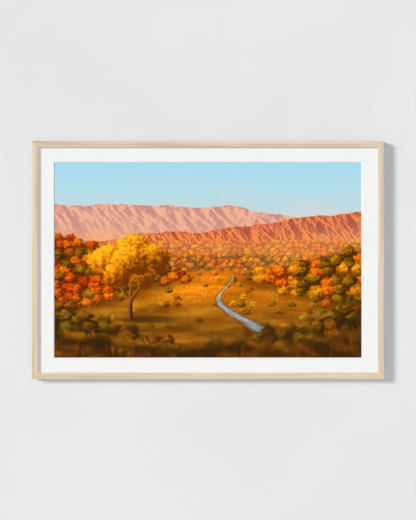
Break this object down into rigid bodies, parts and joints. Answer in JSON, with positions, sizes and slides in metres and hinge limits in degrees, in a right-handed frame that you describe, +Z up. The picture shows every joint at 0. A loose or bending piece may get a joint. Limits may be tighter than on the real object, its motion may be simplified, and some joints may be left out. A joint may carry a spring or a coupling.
{
  "type": "framed landscape print",
  "caption": "Landscape print behind a white bevelled mat in a thin pale wooden frame with mitred corners, made to hang flat on a wall from two ring hangers on its back panel.",
  "frame": {"origin": "on the wall side of the top rail, midway along it and midway across its wood, where the frame rests against the wall", "axes": "+X to the right as the picture is seen, +Y out of the back into the wall, +Z up; the picture faces -Y"},
  "size_m": [0.9404, 0.022, 0.6356],
  "materials": {
    "pale_wood": "satin",
    "clear_acrylic": "polished",
    "mat_board": "matte",
    "print_paper": "satin",
    "foam_board": "matte",
    "hardboard": "matte",
    "steel": "satin",
    "nickel_plate": "gloss"
  },
  "bodies": {
    "picture_frame": {"rail_top": "pale_wood", "rail_bottom": "pale_wood", "rail_left": "pale_wood", "rail_right": "pale_wood", "corner_nail_1": "steel", "corner_nail_2": "steel", "corner_nail_3": "steel", "corner_nail_4": "steel", "glazing": "clear_acrylic", "mat_board": "mat_board", "print_sheet": "print_paper", "foam_board": "foam_board", "back_panel": "hardboard", "tab_top_1": "steel", "tab_top_2": "steel", "tab_top_3": "steel", "tab_top_4": "steel", "tab_bottom_1": "steel", "tab_bottom_2": "steel", "tab_bottom_3": "steel", "tab_bottom_4": "steel", "tab_left_1": "steel", "tab_left_2": "steel", "tab_left_3": "steel", "tab_right_1": "steel", "tab_right_2": "steel", "tab_right_3": "steel", "hanger_strap_left": "nickel_plate", "hanger_strap_right": "nickel_plate", "hanger_rivet_left_1": "nickel_plate", "hanger_rivet_left_2": "nickel_plate", "hanger_rivet_right_1": "nickel_plate", "hanger_rivet_right_2": "nickel_plate"},
    "ring_left": {"hanger_ring_left": "nickel_plate"},
    "ring_right": {"hanger_ring_right": "nickel_plate"}
  },
  "joints": [
    {"name": "ring_left_swing", "type": "hinge", "parent": "picture_frame", "child": "ring_left", "pos_m": [-0.3202, -0.0038, -0.0459], "axis": [-1, 0, 0], "range_deg": [0, 176]},
    {"name": "ring_right_swing", "type": "hinge", "parent": "picture_frame", "child": "ring_right", "pos_m": [0.3202, -0.0038, -0.0459], "axis": [-1, 0, 0], "range_deg": [0, 176]}
  ]
}
